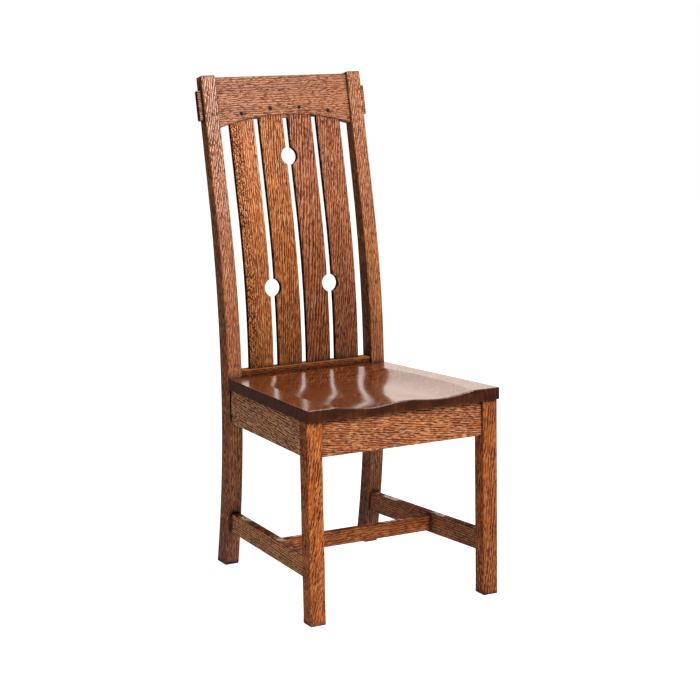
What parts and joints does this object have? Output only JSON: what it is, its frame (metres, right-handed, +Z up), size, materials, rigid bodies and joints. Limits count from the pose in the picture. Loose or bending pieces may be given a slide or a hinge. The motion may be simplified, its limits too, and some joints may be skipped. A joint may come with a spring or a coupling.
{
  "type": "side chair",
  "caption": "Armless oak dining chair with a raked slatted back, arched crest rail on through tenons, saddled plank seat and an H-stretcher between square legs.",
  "frame": {"origin": "on the floor, under the middle of the chair's overall width and depth", "axes": "+Z up, -Y is the way the sitter faces, +Y the chair's back, and +X is to the right of someone who looks at the chair's front, as left and right are in the nodes' names"},
  "size_m": [0.4594, 0.5848, 1.1146],
  "materials": {
    "oak": "quarter-sawn white oak, red-brown stain under satin lacquer",
    "seat_oak": "quarter-sawn white oak plank, red-brown stain under gloss lacquer",
    "dark_peg": "end-grain hardwood peg, stained near black, satin",
    "block_wood": "plain sawn hardwood, unstained",
    "screw_steel": "zinc-plated steel"
  },
  "bodies": {
    "root": {"front_leg_left": "oak", "front_leg_right": "oak", "back_post_left": "oak", "back_post_right": "oak", "crest_rail": "oak", "crest_pegs": "dark_peg", "slat_outer_left": "oak", "slat_inner_left": "oak", "slat_inner_right": "oak", "slat_outer_right": "oak", "rear_rail": "oak", "front_apron": "oak", "side_apron_left": "oak", "side_apron_right": "oak", "side_stretcher_left": "oak", "side_stretcher_right": "oak", "cross_stretcher": "oak", "seat": "seat_oak", "corner_block_front_left": "block_wood", "corner_block_front_right": "block_wood", "corner_block_rear_left": "block_wood", "corner_block_rear_right": "block_wood", "seat_screws": "screw_steel"}
  },
  "joints": []
}
